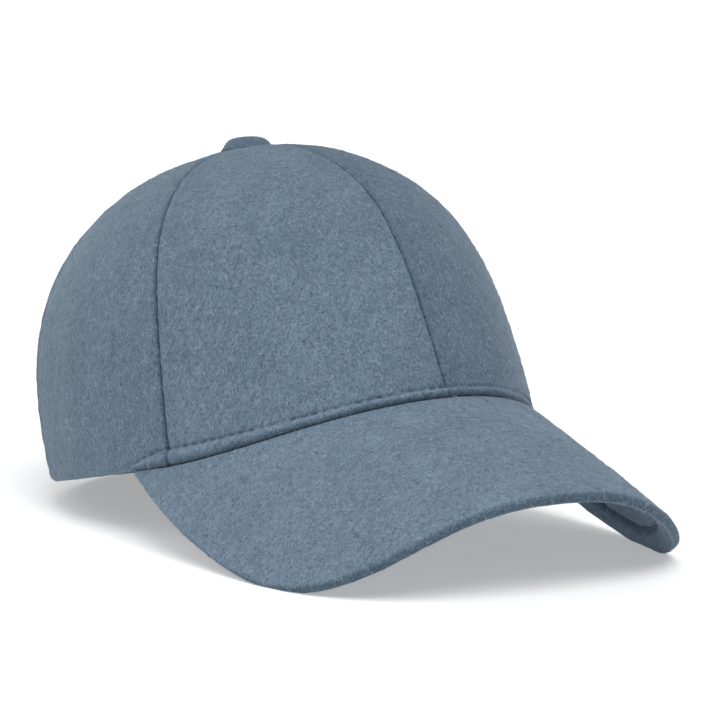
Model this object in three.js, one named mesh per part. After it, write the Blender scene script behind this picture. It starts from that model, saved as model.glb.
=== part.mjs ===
// A six-panel wool cap with a curved brim, head size 58, resting on a table as it would by itself.
//
// Millimetres, +Z up. The cap faces -Y and +X is the wearer's left. Its shape is worked out in the
// crown's own frame, where the button's axis stands upright. The whole cap is then tipped back onto
// the lowest points of its brim and the back of its rim, where the cloth is pressed flat.
// The origin is on the table, under the middle of the cap.

import * as THREE from "three";
import { mergeVertices } from "three/addons/utils/BufferGeometryUtils.js";

// Crown, in its front, side and back profiles: reach is the rim's distance from the button's axis,
// shoulder rounds the profile's side, lift rounds its top, and swell bulges it half way up.
const CROWN_HEIGHT = 118;
const PROFILES = {
  front: { reach: 119.5, shoulder: 2, lift: 2.63, swell: -0.099 },
  side: { reach: 84.3, shoulder: 1.8, lift: 3.22, swell: 0.01 },
  back: { reach: 92, shoulder: 2.21, lift: 3.4, swell: 0.076 },
};
const BACK_RIM_RISE = 3.5;

// Panels, by the angle of each edge at the rim: 0 is the front and 90 the wearer's left.
const PANELS = [
  { name: "panel_front_left", from: 0, to: 60 },
  { name: "panel_side_left", from: 60, to: 122 },
  { name: "panel_back_left", from: 122, to: 180 },
  { name: "panel_back_right", from: -180, to: -122 },
  { name: "panel_side_right", from: -122, to: -60 },
  { name: "panel_front_right", from: -60, to: 0 },
];
const FRONT_SEAM_LEAN = 11.2;
const WOOL_WALL = 2;
const SEAM_GAP = 0.3;
const SEAM_DIP = 0.8;
const SEAM_DIP_REACH = 2.2;
const CROWN_HOLE_RADIUS = 3.2;

// Joint between crown and brim: it rises from its two corners to the middle of the front.
const JOINT_HALF_ANGLE = 72;
const JOINT_RISE = 13.2;
const JOINT_ROUNDING = 3.35;
const JOINT_GAP = 0.4;

// Brim: its outline from above, its fall towards the tip, its curl at the sides, and its section.
const BRIM_TIP = 178.4;
const BRIM_HALF_WIDTH = 88.1;
const BRIM_WIDEST_AT = 78.7;
const BRIM_SQUARENESS = 2.39;
const BRIM_SIDE_SHARE = 0.22;
const BRIM_FALL_DEGREES = 18.7;
const BRIM_CURL = 65;
const BRIM_CURL_GROWTH = 0.0042;
const BRIM_CURL_POWER = 2.55;
const BRIM_BULGE = 1.4;
const BRIM_THICKNESS = 4.4;
const BRIM_CORNER_THICKNESS = 1.8;
const BRIM_THINNING_SHARE = 0.2;
const BRIM_TUCK = 2.3;
const BRIM_TUCK_DROP = 0.6;
const BRIM_UPRIGHT_SHARE = 0.12;

// Button: a dome with a short shank.
const BUTTON_RADIUS = 9.2;
const BUTTON_HEIGHT = 4.2;
const BUTTON_SQUARENESS = 0.8;
const SHANK_RADIUS = 2.2;
const SHANK_LENGTH = 3;

// Sweatband inside the rim.
const BAND_WIDTH = 31;
const BAND_WALL = 1.2;
const BAND_SET_UP = 1;

// Resting pose: how far the cap tips back, and where that puts the foot of the button's axis.
const TIP_BACK_DEGREES = 14.4;
const AXIS_FOOT_HEIGHT = 18.4;
const AXIS_FOOT_BEHIND = 36.4;

// Where the faces of the surfaces start and end.
const PANEL_ACROSS = [0, 0.03, 0.08, 0.2, 0.35, 0.5, 0.65, 0.8, 0.92, 0.97, 1];
const PANEL_ROWS = 17;
const PANEL_ROW_GROWTH = 1.5;
const BRIM_SECTIONS = 40;
const BRIM_LAST_SHARE = 0.99;
const BRIM_OUTWARDS = [0, 0.12, 0.35, 0.6, 0.82, 0.95, 1];
const BRIM_ROLL_DEGREES = [32, 58, 80];
const BUTTON_RINGS = 7;
const BUTTON_SIDES = 24;
const BAND_SIDES = 60;
const BAND_UPWARDS = [0, 0.15, 0.4, 0.7, 1];

const radians = THREE.MathUtils.degToRad;
const clamp = THREE.MathUtils.clamp;
const lerp = THREE.MathUtils.lerp;
const QUARTER_TURN = Math.PI / 2;
const JOINT_END = radians(JOINT_HALF_ANGLE);

// A profile's value in any direction, changing smoothly from the front by the side to the back.
function byDirection(angle, key) {
  const along = Math.cos(angle) ** 2;
  const end = Math.cos(angle) >= 0 ? PROFILES.front[key] : PROFILES.back[key];
  return along * end + (1 - along) * PROFILES.side[key];
}

// The rim's oval: its distance from the button's axis.
function rimRadius(angle) {
  const end = Math.cos(angle) >= 0 ? PROFILES.front.reach : PROFILES.back.reach;
  return 1 / Math.hypot(Math.sin(angle) / PROFILES.side.reach, Math.cos(angle) / end);
}

// A point of the crown's outer surface. climb runs from 0 at the rim's level to a quarter turn at the top.
function crownPoint(angle, climb) {
  const rise = Math.sin(climb) ** (2 / byDirection(angle, "lift"));
  const swell = 1 + byDirection(angle, "swell") * 4 * rise * (1 - rise);
  const radius = rimRadius(angle) * Math.cos(climb) ** (2 / byDirection(angle, "shoulder")) * swell;
  return new THREE.Vector3(radius * Math.sin(angle), -radius * Math.cos(angle), rise * CROWN_HEIGHT);
}

// The climb at which the crown's surface is at a given height.
function climbAt(angle, height) {
  return Math.asin((height / CROWN_HEIGHT) ** (byDirection(angle, "lift") / 2));
}

// The climb at which the crown ends at the small hole under the button.
function lastClimb(angle) {
  return Math.acos((CROWN_HOLE_RADIUS / rimRadius(angle)) ** (byDirection(angle, "shoulder") / 2));
}

// The crown surface's outward direction, from two small steps along it.
function crownNormal(angle, climb) {
  const step = 0.001;
  const at = clamp(climb, 20 * step, QUARTER_TURN - 20 * step);
  const around = crownPoint(angle + step, at).sub(crownPoint(angle - step, at));
  const upwards = crownPoint(angle, at + step).sub(crownPoint(angle, at - step));
  return around.cross(upwards).normalize();
}

// Height of the joint's line on the brim's top.
function jointHeight(angle) {
  const share = clamp(Math.abs(angle) / JOINT_END, 0, 1);
  return JOINT_RISE * (1 - share ** 2) ** JOINT_ROUNDING;
}

// Height of the crown's lower edge: it sits on the brim in front and rises a little towards the back.
function rimHeight(angle) {
  if (Math.abs(angle) <= JOINT_END) return jointHeight(angle) + JOINT_GAP;
  const behind = (Math.abs(angle) - JOINT_END) / (Math.PI - JOINT_END);
  return JOINT_GAP + BACK_RIM_RISE * THREE.MathUtils.smoothstep(behind, 0, 1);
}

// A seam's angle on its way up. The two seams beside the front panels lean outwards as they climb.
function seamAngle(atRim, climb) {
  const lean = Math.abs(atRim) > 0 && Math.abs(atRim) < 90 ? FRONT_SEAM_LEAN : 0;
  return radians(atRim + Math.sign(atRim) * lean * Math.sin(climb) ** 2);
}

const cap = new THREE.Group();
cap.rotation.x = radians(-TIP_BACK_DEGREES);
cap.position.set(0, AXIS_FOOT_BEHIND, AXIS_FOOT_HEIGHT);
cap.updateMatrix();
const tipped = cap.matrix;
const upright = tipped.clone().invert();

// Cloth that would reach below the table is pressed flat on it.
function settle(point) {
  point.applyMatrix4(tipped);
  point.z = Math.max(point.z, 0);
  return point.applyMatrix4(upright);
}

// A closed piece of cloth between an outer and an inner grid of points, walled in along its borders.
// A ring's rows close on themselves.
function cloth(outer, inner, isRing = false) {
  const rows = outer.length;
  const columns = outer[0].length;
  const lastColumn = isRing ? columns : columns - 1;
  const lastRow = rows - 1;
  const at = (side, row, column) => (side * rows + row) * columns + (column % columns);
  const faces = [];
  const quad = (a, b, c, d) => faces.push(a, b, c, a, c, d);
  for (let row = 0; row < lastRow; row += 1) {
    for (let column = 0; column < lastColumn; column += 1) {
      quad(at(0, row, column), at(0, row, column + 1), at(0, row + 1, column + 1), at(0, row + 1, column));
      quad(at(1, row, column), at(1, row + 1, column), at(1, row + 1, column + 1), at(1, row, column + 1));
    }
    if (!isRing) {
      quad(at(0, row, 0), at(0, row + 1, 0), at(1, row + 1, 0), at(1, row, 0));
      quad(at(1, row, lastColumn), at(1, row + 1, lastColumn), at(0, row + 1, lastColumn), at(0, row, lastColumn));
    }
  }
  for (let column = 0; column < lastColumn; column += 1) {
    quad(at(0, 0, column + 1), at(0, 0, column), at(1, 0, column), at(1, 0, column + 1));
    quad(at(0, lastRow, column), at(0, lastRow, column + 1), at(1, lastRow, column + 1), at(1, lastRow, column));
  }
  const geometry = new THREE.BufferGeometry().setFromPoints([...outer.flat(), ...inner.flat()].map(settle));
  geometry.setIndex(faces);
  return mergeVertices(geometry, 1e-4);
}

function addPiece(name, geometry, material) {
  const piece = new THREE.Mesh(geometry, material);
  piece.name = name;
  cap.add(piece);
}

const wool = new THREE.MeshStandardMaterial({ color: 0x6b7d8e, roughness: 0.95, metalness: 0 });
const twill = new THREE.MeshStandardMaterial({ color: 0x4f5c69, roughness: 0.9, metalness: 0 });

// One crown panel: a gore of wool whose edges dip into the seams.
function panelGeometry({ from, to }) {
  const outer = [];
  const inner = [];
  for (let row = 0; row <= PANEL_ROWS; row += 1) {
    const outerRow = [];
    const innerRow = [];
    for (const across of PANEL_ACROSS) {
      const atRim = radians(lerp(from, to, across));
      const share = (row / PANEL_ROWS) ** PANEL_ROW_GROWTH;
      const climb = lerp(climbAt(atRim, rimHeight(atRim)), lastClimb(atRim), share);
      const first = seamAngle(from, climb);
      const last = seamAngle(to, climb);
      const around = crownPoint(atRim, climb);
      const radius = Math.hypot(around.x, around.y);
      const halfGap = SEAM_GAP / 2 / radius;
      const angle = lerp(first + halfGap, last - halfGap, across);
      const toSeam = Math.min(across, 1 - across) * (last - first) * radius;
      const dip = SEAM_DIP * Math.exp(-((toSeam / SEAM_DIP_REACH) ** 2));
      const normal = crownNormal(angle, climb);
      outerRow.push(crownPoint(angle, climb).addScaledVector(normal, -dip));
      innerRow.push(crownPoint(angle, climb).addScaledVector(normal, -dip - WOOL_WALL));
    }
    outer.push(outerRow);
    inner.push(innerRow);
  }
  return cloth(outer, inner);
}

// How thick the brim is: it thins out towards the corners of the joint.
function brimThickness(share) {
  const inner = clamp((1 - Math.abs(share)) / BRIM_THINNING_SHARE, 0, 1);
  return lerp(BRIM_CORNER_THICKNESS, BRIM_THICKNESS, inner);
}

// Fall of the brim's edge: it slopes down to the tip and curls down at the sides.
function edgeFall(side, fore) {
  const ahead = fore - PROFILES.front.reach;
  const curl = BRIM_CURL * (1 + BRIM_CURL_GROWTH * ahead) * (side / 100) ** BRIM_CURL_POWER;
  return Math.tan(radians(BRIM_FALL_DEGREES)) * ahead + curl;
}

// The brim's outer edge. share is 0 in the middle of the front and 1 or -1 at a corner of the joint.
function brimEdge(share) {
  const corner = crownPoint(JOINT_END, 0);
  const frontShare = 1 - BRIM_SIDE_SHARE;
  const turn = Math.min(Math.abs(share) / frontShare, 1) * QUARTER_TURN;
  const sideways = Math.sin(turn) / BRIM_HALF_WIDTH;
  const forwards = Math.max(Math.cos(turn), 0) / (BRIM_TIP - BRIM_WIDEST_AT);
  const reach = (sideways ** BRIM_SQUARENESS + forwards ** BRIM_SQUARENESS) ** (-1 / BRIM_SQUARENESS);
  const backwards = Math.max(Math.abs(share) - frontShare, 0) / BRIM_SIDE_SHARE;
  const side = reach * Math.sin(turn) - (BRIM_HALF_WIDTH - corner.x) * backwards ** 2;
  const fore = BRIM_WIDEST_AT + reach * Math.cos(turn) - (BRIM_WIDEST_AT + corner.y) * backwards;
  return new THREE.Vector3(Math.sign(share) * side, -fore, edgeFall(corner.x, -corner.y) - edgeFall(side, fore));
}

// A point on the brim's top: out runs from 0 at the joint to 1 at the edge.
function brimTop(share, out) {
  const angle = share * JOINT_END;
  const point = crownPoint(angle, climbAt(angle, jointHeight(angle))).lerp(brimEdge(share), out);
  point.z += BRIM_BULGE * 4 * out * (1 - out) * (1 - share ** 4);
  return point;
}

// The brim's upward direction: straight up along the joint, and square to its surface further out.
function brimNormal(share, out) {
  const step = 0.001;
  const at = clamp(out, 50 * step, 1 - 50 * step);
  const along = brimTop(share + step, at).sub(brimTop(share - step, at));
  const outwards = brimTop(share, at + step).sub(brimTop(share, at - step));
  const square = outwards.cross(along).normalize();
  return new THREE.Vector3(0, 0, 1).lerp(square, Math.min(out / BRIM_UPRIGHT_SHARE, 1)).normalize();
}

// One section of the brim, from its tuck under the crown's wall out to its rolled edge.
function brimSection(share) {
  const half = brimThickness(share) / 2;
  const width = brimTop(share, 0).distanceTo(brimTop(share, 1));
  const roll = Math.min(half, 0.45 * width) / width;
  const section = { top: [], under: [] };
  const add = (point, normal, opening) => {
    section.top.push(point.clone().addScaledVector(normal, half * (opening - 1)));
    section.under.push(point.clone().addScaledVector(normal, half * (-opening - 1)));
  };
  const tuck = brimTop(share, 0);
  tuck.add(new THREE.Vector3(-tuck.x, -tuck.y, 0).setLength(BRIM_TUCK));
  tuck.z -= BRIM_TUCK_DROP;
  add(tuck, new THREE.Vector3(0, 0, 1), 1);
  for (const part of BRIM_OUTWARDS) {
    const out = part * (1 - roll);
    add(brimTop(share, out), brimNormal(share, out), 1);
  }
  for (const degrees of BRIM_ROLL_DEGREES) {
    const turn = radians(degrees);
    const out = 1 - roll * (1 - Math.sin(turn));
    add(brimTop(share, out), brimNormal(share, out), Math.cos(turn));
  }
  return section;
}

// Brim: a curved board covered in wool, ruled from the joint out to its edge.
function brimGeometry() {
  const sections = [];
  for (let step = 0; step <= BRIM_SECTIONS; step += 1) {
    sections.push(brimSection(BRIM_LAST_SHARE * ((2 * step) / BRIM_SECTIONS - 1)));
  }
  const top = sections.map((section) => section.top);
  const under = sections.map((section) => section.under);
  return cloth(top, under);
}

// Button: a wool-covered dome whose shank goes down through the hole where the panels meet.
function buttonGeometry() {
  const foot = CROWN_HEIGHT + SEAM_GAP;
  const profile = [new THREE.Vector2(0, foot - SHANK_LENGTH)];
  profile.push(new THREE.Vector2(SHANK_RADIUS, foot - SHANK_LENGTH));
  profile.push(new THREE.Vector2(SHANK_RADIUS, foot));
  for (let ring = 0; ring < BUTTON_RINGS; ring += 1) {
    const turn = (ring / BUTTON_RINGS) * QUARTER_TURN;
    const radius = BUTTON_RADIUS * Math.cos(turn) ** BUTTON_SQUARENESS;
    profile.push(new THREE.Vector2(radius, foot + BUTTON_HEIGHT * Math.sin(turn)));
  }
  profile.push(new THREE.Vector2(0, foot + BUTTON_HEIGHT));
  return new THREE.LatheGeometry(profile, BUTTON_SIDES).rotateX(QUARTER_TURN);
}

// Height of the sweatband's fold: level with the brim's underside in front, just inside the rim behind.
function bandHeight(angle) {
  const behind = rimHeight(angle) + BAND_SET_UP;
  const share = Math.min(Math.abs(angle) / JOINT_END, 1);
  return lerp(jointHeight(angle) - brimThickness(share), behind, share ** 8);
}

// Sweatband: a strip of twill inside the rim, all the way round.
function bandGeometry() {
  const depth = SEAM_DIP + WOOL_WALL + SEAM_GAP;
  const outer = [];
  const inner = [];
  for (const share of BAND_UPWARDS) {
    const outerRow = [];
    const innerRow = [];
    for (let side = 0; side < BAND_SIDES; side += 1) {
      const angle = ((2 * side) / BAND_SIDES - 1) * Math.PI;
      const height = bandHeight(angle) + share * BAND_WIDTH;
      const seat = Math.max(height, rimHeight(angle));
      const climb = climbAt(angle, seat);
      const point = crownPoint(angle, climb);
      point.z += height - seat;
      const normal = crownNormal(angle, climb);
      outerRow.push(point.clone().addScaledVector(normal, -depth));
      innerRow.push(point.clone().addScaledVector(normal, -depth - BAND_WALL));
    }
    outer.push(outerRow);
    inner.push(innerRow);
  }
  return cloth(outer, inner, true);
}

for (const panel of PANELS) addPiece(panel.name, panelGeometry(panel), wool);
addPiece("brim", brimGeometry(), wool);
addPiece("button", buttonGeometry(), wool);
addPiece("sweatband", bandGeometry(), twill);

export default cap;
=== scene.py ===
import math

import bpy
import numpy as np
from mathutils import Euler, Matrix


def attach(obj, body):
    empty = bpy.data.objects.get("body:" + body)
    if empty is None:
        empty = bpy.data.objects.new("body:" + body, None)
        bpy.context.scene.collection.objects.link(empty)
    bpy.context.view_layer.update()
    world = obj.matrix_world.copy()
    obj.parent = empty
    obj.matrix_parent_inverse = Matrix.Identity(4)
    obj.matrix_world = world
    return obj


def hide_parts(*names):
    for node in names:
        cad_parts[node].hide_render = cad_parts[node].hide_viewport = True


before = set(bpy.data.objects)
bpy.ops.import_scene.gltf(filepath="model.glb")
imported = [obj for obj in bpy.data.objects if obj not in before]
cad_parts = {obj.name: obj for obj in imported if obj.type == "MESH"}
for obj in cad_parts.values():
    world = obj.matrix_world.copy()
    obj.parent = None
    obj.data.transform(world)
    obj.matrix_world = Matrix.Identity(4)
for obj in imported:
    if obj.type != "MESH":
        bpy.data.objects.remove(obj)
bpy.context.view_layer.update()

# Crown panels: six gores of brushed wool melton, 2 mm thick, cut to shape and sewn edge to edge.
# Each edge rolls down into its seam, and in front the lower edge is turned under and stitched
# down over the brim, which leaves a soft raised strip above the joint.
CROWN_HEIGHT = 0.118
REACH = {"front": 0.1195, "side": 0.0843, "back": 0.092}
SHOULDER = {"front": 2.0, "side": 1.8, "back": 2.21}
LIFT = {"front": 2.63, "side": 3.22, "back": 3.4}
SWELL = {"front": -0.099, "side": 0.01, "back": 0.076}
CROWN_HOLE_RADIUS = 0.0032
BACK_RIM_RISE = 0.0035
JOINT_END = math.radians(72)
JOINT_RISE = 0.0132
JOINT_ROUNDING = 3.35
JOINT_GAP = 0.0004
PANEL_EDGES = {
    "panel_front_left": (0, 60),
    "panel_side_left": (60, 122),
    "panel_back_left": (122, 180),
    "panel_back_right": (-180, -122),
    "panel_side_right": (-122, -60),
    "panel_front_right": (-60, 0),
}
FRONT_SEAM_LEAN = 11.2
WOOL_WALL = 0.002
WELT_LOW = 0.0038
WELT_HIGH = 0.0059
WELT_WIDENS_FROM = math.radians(18)
WELT_WIDENS_OVER = math.radians(40)
WELT_ENDS_FROM = 0.86
WELT_ENDS_OVER = 0.2
WELT_END_POWER = 1.3
TIP_BACK = math.radians(14.4)
AXIS_FOOT = np.array([0, 0.0364, 0.0184])


def by_direction(angle, profile):
    """A profile's value in any direction, from the front by the side to the back."""
    along = np.cos(angle) ** 2
    end = np.where(np.cos(angle) >= 0, profile["front"], profile["back"])
    return along * end + (1 - along) * profile["side"]


def rim_radius(angle):
    end = np.where(np.cos(angle) >= 0, REACH["front"], REACH["back"])
    return 1 / np.hypot(np.sin(angle) / REACH["side"], np.cos(angle) / end)


def crown_point(angle, climb):
    """A point of the crown's outer surface in its own frame, with the button's axis upright."""
    rise = np.sin(climb) ** (2 / by_direction(angle, LIFT))
    swell = 1 + by_direction(angle, SWELL) * 4 * rise * (1 - rise)
    radius = rim_radius(angle) * np.cos(climb) ** (2 / by_direction(angle, SHOULDER)) * swell
    return np.stack([radius * np.sin(angle), -radius * np.cos(angle), rise * CROWN_HEIGHT], -1)


def climb_at(angle, height):
    return np.arcsin((height / CROWN_HEIGHT) ** (by_direction(angle, LIFT) / 2))


def last_climb(angle):
    return np.arccos((CROWN_HOLE_RADIUS / rim_radius(angle)) ** (by_direction(angle, SHOULDER) / 2))


def unit(vectors):
    return vectors / np.linalg.norm(vectors, axis=-1, keepdims=True)


def crown_normal(angle, climb):
    step = 0.001
    at = np.clip(climb, 20 * step, math.pi / 2 - 20 * step)
    around = crown_point(angle + step, at) - crown_point(angle - step, at)
    upwards = crown_point(angle, at + step) - crown_point(angle, at - step)
    return unit(np.cross(around, upwards))


def smooth(x):
    """A soft step: 0 up to x = 0, and 1 from x = 1 on."""
    x = np.clip(x, 0, 1)
    return x * x * (3 - 2 * x)


def bell(distance, width):
    """1 in the middle, fading to nothing over about twice the width."""
    return np.exp(-((distance / width) ** 2))


def joint_height(angle):
    share = np.clip(np.abs(angle) / JOINT_END, 0, 1)
    return JOINT_RISE * (1 - share**2) ** JOINT_ROUNDING


def rim_height(angle):
    """Height of the crown's lower edge: on the brim in front, a little raised at the back."""
    behind = (np.abs(angle) - JOINT_END) / (math.pi - JOINT_END)
    return JOINT_GAP + np.where(behind < 0, joint_height(angle), BACK_RIM_RISE * smooth(behind))


def seam_angle(at_rim, climb):
    lean = FRONT_SEAM_LEAN if 0 < abs(at_rim) < 90 else 0
    return np.radians(at_rim + np.sign(at_rim) * lean * np.sin(climb) ** 2)


def welt_height(angle):
    """Height of the stitched strip above the brim, which runs out at the brim's corners."""
    towards_side = smooth((np.abs(angle) - WELT_WIDENS_FROM) / WELT_WIDENS_OVER)
    ends = np.clip((np.abs(angle) / JOINT_END - WELT_ENDS_FROM) / WELT_ENDS_OVER, 0, 1)
    return (WELT_LOW + (WELT_HIGH - WELT_LOW) * towards_side) * (1 - ends**WELT_END_POWER)


def run_length(line):
    """Length along a line of points, from its first point to each."""
    return np.concatenate([[0], np.cumsum(np.linalg.norm(np.diff(line, axis=0), axis=-1))])


def along_joint(angle):
    """Length along the joint from the middle of the front, which spaces the stitches."""
    fine = np.linspace(0, math.radians(90), 2000)
    length = run_length(crown_point(fine, climb_at(fine, joint_height(fine))))
    return np.sign(angle) * np.interp(np.abs(angle), fine, length)


def rounded(distance, height, depth):
    """How far a rounded edge has turned in at some distance from its end."""
    inside = np.clip(1 - distance / height, 0, 1)
    return depth * (1 - np.sqrt(1 - inside**2))


def dents(points, seed, wavelengths):
    """Soft unevenness of sewn cloth: a few slow waves in different directions."""
    rng = np.random.default_rng(seed)
    total = np.zeros(points.shape[:-1])
    for wavelength in wavelengths:
        direction = unit(rng.normal(size=3))
        phase = rng.uniform(0, 2 * math.pi)
        total += np.sin(points @ direction * 2 * math.pi / wavelength + phase)
    return total / len(wavelengths)


def settle(points):
    """The resting pose: tipped back, and pressed flat where cloth would reach below the floor."""
    turned = points.copy()
    turned[..., 1] = points[..., 1] * math.cos(TIP_BACK) + points[..., 2] * math.sin(TIP_BACK)
    turned[..., 2] = points[..., 2] * math.cos(TIP_BACK) - points[..., 1] * math.sin(TIP_BACK)
    turned += AXIS_FOOT
    turned[..., 2] = np.maximum(turned[..., 2], 0)
    return turned


def cloth_grid(name, points):
    """A grid primitive whose corners are moved to rows of points."""
    rows, columns = points.shape[:2]
    bpy.ops.object.select_all(action="DESELECT")
    bpy.ops.mesh.primitive_grid_add(x_subdivisions=columns - 1, y_subdivisions=rows - 1, size=1)
    piece = bpy.context.object
    piece.name = name
    piece.data.vertices.foreach_set("co", settle(points).reshape(-1))
    piece.data.update()
    return piece


def lay_nap_and_painted_light(piece, values):
    """Painted light and shade at each corner, which the wool's colour takes: darker where the value is
    above zero, lighter where it is below. On the button it is a plain darker tone.
    """
    nap = piece.data.attributes.new("nap_and_painted_light", "FLOAT", "POINT")
    nap.data.foreach_set("value", values.reshape(-1))


def close_wall(outer, inner):
    """Joins an inner face to an outer one and bridges their borders, so the cloth is a closed wall."""
    bpy.ops.object.select_all(action="DESELECT")
    inner.data.flip_normals()
    inner.select_set(True)
    outer.select_set(True)
    bpy.context.view_layer.objects.active = outer
    bpy.ops.object.join()
    bpy.ops.object.mode_set(mode="EDIT")
    bpy.ops.mesh.select_mode(type="EDGE")
    bpy.ops.mesh.select_all(action="DESELECT")
    bpy.ops.mesh.select_non_manifold(use_wire=False, use_multi_face=False, use_non_contiguous=False,
                                     use_verts=False)
    bpy.ops.mesh.bridge_edge_loops()
    bpy.ops.mesh.select_all(action="SELECT")
    bpy.ops.mesh.normals_make_consistent(inside=False)
    bpy.ops.object.mode_set(mode="OBJECT")
    bpy.ops.object.shade_smooth()
    return outer


PANEL_COLUMNS = {"front": 200, "side": 100, "back": 72}
PANEL_ROWS = 120
FINE_ROWS = 34
FINE_HEIGHT = 0.009
ROW_GROWTH = 1.6
SAMPLES = 600
SAMPLE_GROWTH = 1.5
EVEN_ROWS_SHARE = 0.19
EVEN_COLUMNS_SHARE = 0.45
SEAM_GAP = 0.0001


def panel_rows(edges, columns):
    """Angle, climb, distance from the lower edge and from the nearest seam, for every corner of a panel.

    Columns are closer at the seams, and rows along the lower edge, where the cloth is rolled.
    """
    even = np.linspace(0, 1, columns + 1)
    across = EVEN_COLUMNS_SHARE * even + (1 - EVEN_COLUMNS_SHARE) * (1 - np.cos(even * math.pi)) / 2
    at_rim = np.radians(edges[0] + (edges[1] - edges[0]) * across)
    share = np.linspace(0, 1, SAMPLES)[:, None] ** SAMPLE_GROWTH
    climb = climb_at(at_rim, rim_height(at_rim))
    climb = climb + (last_climb(at_rim) - climb) * share
    first = seam_angle(edges[0], climb)
    last = seam_angle(edges[1], climb)
    around = crown_point(at_rim, climb)
    radius = np.hypot(around[..., 0], around[..., 1])
    gap = SEAM_GAP / 2 / radius
    angle = first + gap + (last - first - 2 * gap) * across
    to_seam = np.minimum(across, 1 - across) * (last - first) * radius
    fine = crown_point(angle, climb)
    steps = np.linalg.norm(np.diff(fine, axis=0), axis=-1)
    length = np.concatenate([np.zeros((1, steps.shape[1])), np.cumsum(steps, axis=0)])
    fine_steps = np.linspace(0, FINE_HEIGHT, FINE_ROWS + 1)
    step = np.linspace(0, 1, PANEL_ROWS - FINE_ROWS + 1)[1:]
    spread = EVEN_ROWS_SHARE * step + (1 - EVEN_ROWS_SHARE) * step**ROW_GROWTH
    rows = []
    for column in range(columns + 1):
        rest = length[-1, column] - FINE_HEIGHT
        wanted = np.concatenate([fine_steps, FINE_HEIGHT + rest * spread])
        rows.append([np.interp(wanted, length[:, column], values[:, column])
                     for values in (angle, climb, length, to_seam)])
    return np.array(rows).transpose(1, 2, 0)


DENT_DEPTH = 0.0005
DENT_WAVES = (0.06, 0.045, 0.08, 0.035)
DENT_FADE = 0.02
RIPPLE_DEPTH = 0.00014
RIPPLE_WAVES = (0.012, 0.009, 0.016, 0.007)
SEAM_REACH = 0.0023
SEAM_SINK = 0.0017
SEAM_FADE_IN_WELT = 0.7
CENTRE_SEAM_REACH = 22
CENTRE_SEAM_BLUR = 10
CENTRE_FADES_FROM = 0.084
CENTRE_FADES_OVER = 0.014
CENTRE_ROLL_FADE = 0.4
CENTRE_LINE_FADE = 0.75
ALLOWANCE_WIDTH = 0.0042
ALLOWANCE_BLUR = 0.0014
ALLOWANCE_SHOWS = 0.00022
ALLOWANCE_INSIDE = 0.0008
INNER_SEAM_DIP = 0.5
INNER_SEAM_WIDTH = 0.0009
PUCKER_DEPTH = 0.0001
PUCKER_LENGTH = 0.009
PUCKER_REACH = 0.004
PUCKER_WANDER = 2
PUCKER_WAVES = (0.03, 0.05)
WELT_PROUD = 0.001
WELT_ROUNDNESS = 0.8
WELT_BLUR = 0.0016
WELT_UNEVENNESS = 0.25
WELT_WAVES = (0.009, 0.014, 0.021, 0.006)
WELT_LIES_FLAT_FROM = -6
WELT_LIES_FLAT_OVER = 36
WELT_FLATTENED = 0.85
CLEAR_OF_WELT = 0.001
CLEAR_OF_WELT_OVER = 0.006
CORNER_TUCK = 0.0009
CORNER_TUCK_HEIGHT = 0.009
CORNER_TUCK_FROM = 16
CORNER_TUCK_OVER = 18
CREASE_DEPTH = 0.0003
CREASE_WIDTH = 0.00075
STITCH_PITCH = 0.0041
STITCH_SINK = 0.0005
STITCH_EDGE = 0.38
STITCH_EDGE_BLUR = 0.36
PULL_MEAN = 0.8
PULL_VARIES = 0.9
PULL_LEAST = 0.25
PULL_WAVES = (0.0075, 0.012, 0.018)
STITCH_FADE = 0.7
STITCH_FADES_FROM = -3
STITCH_FADES_OVER = 14
FRONT_EDGE_HEIGHT = 0.0024
FRONT_EDGE_DEPTH = 0.0018
FRONT_EDGE_VARIES = 0.3
FRONT_EDGE_WAVES = (0.0055, 0.009, 0.016)
HEM_FROM = math.radians(73)
HEM_OVER = math.radians(5)
HEM_EDGE_HEIGHT = 0.0031
HEM_EDGE_DEPTH = 0.0024
HEM_HEIGHT = 0.0085
HEM_WALL = 0.003
HEM_STEP = 0.001
HEM_STEP_BLUR = 0.0015
INNER_EDGE_HEIGHT = 0.0008
INNER_SEAM_FADE = 0.002
# A soft fold beside the top of the centre seam, on the wearer's left: height, place and width
FOLD_HEIGHT = 0.099
FOLD_REACH = 0.013
FOLD_SIDE = math.radians(25)
FOLD_RIDGE = (0.0005, 0.0026, 0.0016)
FOLD_DITCH = (0.0004, 0.0055, 0.0014)
# Painted shade along each line, and how wide that line is: in the seams, beside them, in the stitch
# crease and at the joint under the welt; and a painted highlight on the welt's crest
SEAM_PAINTED_SHADE = (0.95, 0.0008)
CENTRE_SEAM_PAINTED_SHADE = (0.3, 0.0006)
BESIDE_SEAM_PAINTED_SHADE = (0.12, 0.006)
CREASE_PAINTED_SHADE = (0.1, 0.0006)
STITCH_PAINTED_SHADE = 0.25
JOINT_PAINTED_SHADOW = (0.6, 0.0012)
WELT_PAINTED_HIGHLIGHT = (0.32, 0.2)
WELT_HIGHLIGHT_AT = 0.68


def soft_dents(points, from_rim):
    """The slow unevenness of the whole crown, which fades out towards the lower edge."""
    return DENT_DEPTH * dents(points, 5, DENT_WAVES) * smooth(from_rim / DENT_FADE)


def stitch_pull(angle, base):
    """How strongly the stitches pull the cloth in: in dashes, unevenly, less at the wearer's left."""
    phase = 2 * math.pi * along_joint(angle) / STITCH_PITCH
    pull = smooth((STITCH_EDGE - 0.5 * np.cos(phase)) / STITCH_EDGE_BLUR)
    pull *= np.clip(PULL_MEAN + PULL_VARIES * dents(base, 13, PULL_WAVES), PULL_LEAST, 1)
    return pull * (1 - STITCH_FADE * smooth((np.degrees(angle) - STITCH_FADES_FROM) / STITCH_FADES_OVER))


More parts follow.
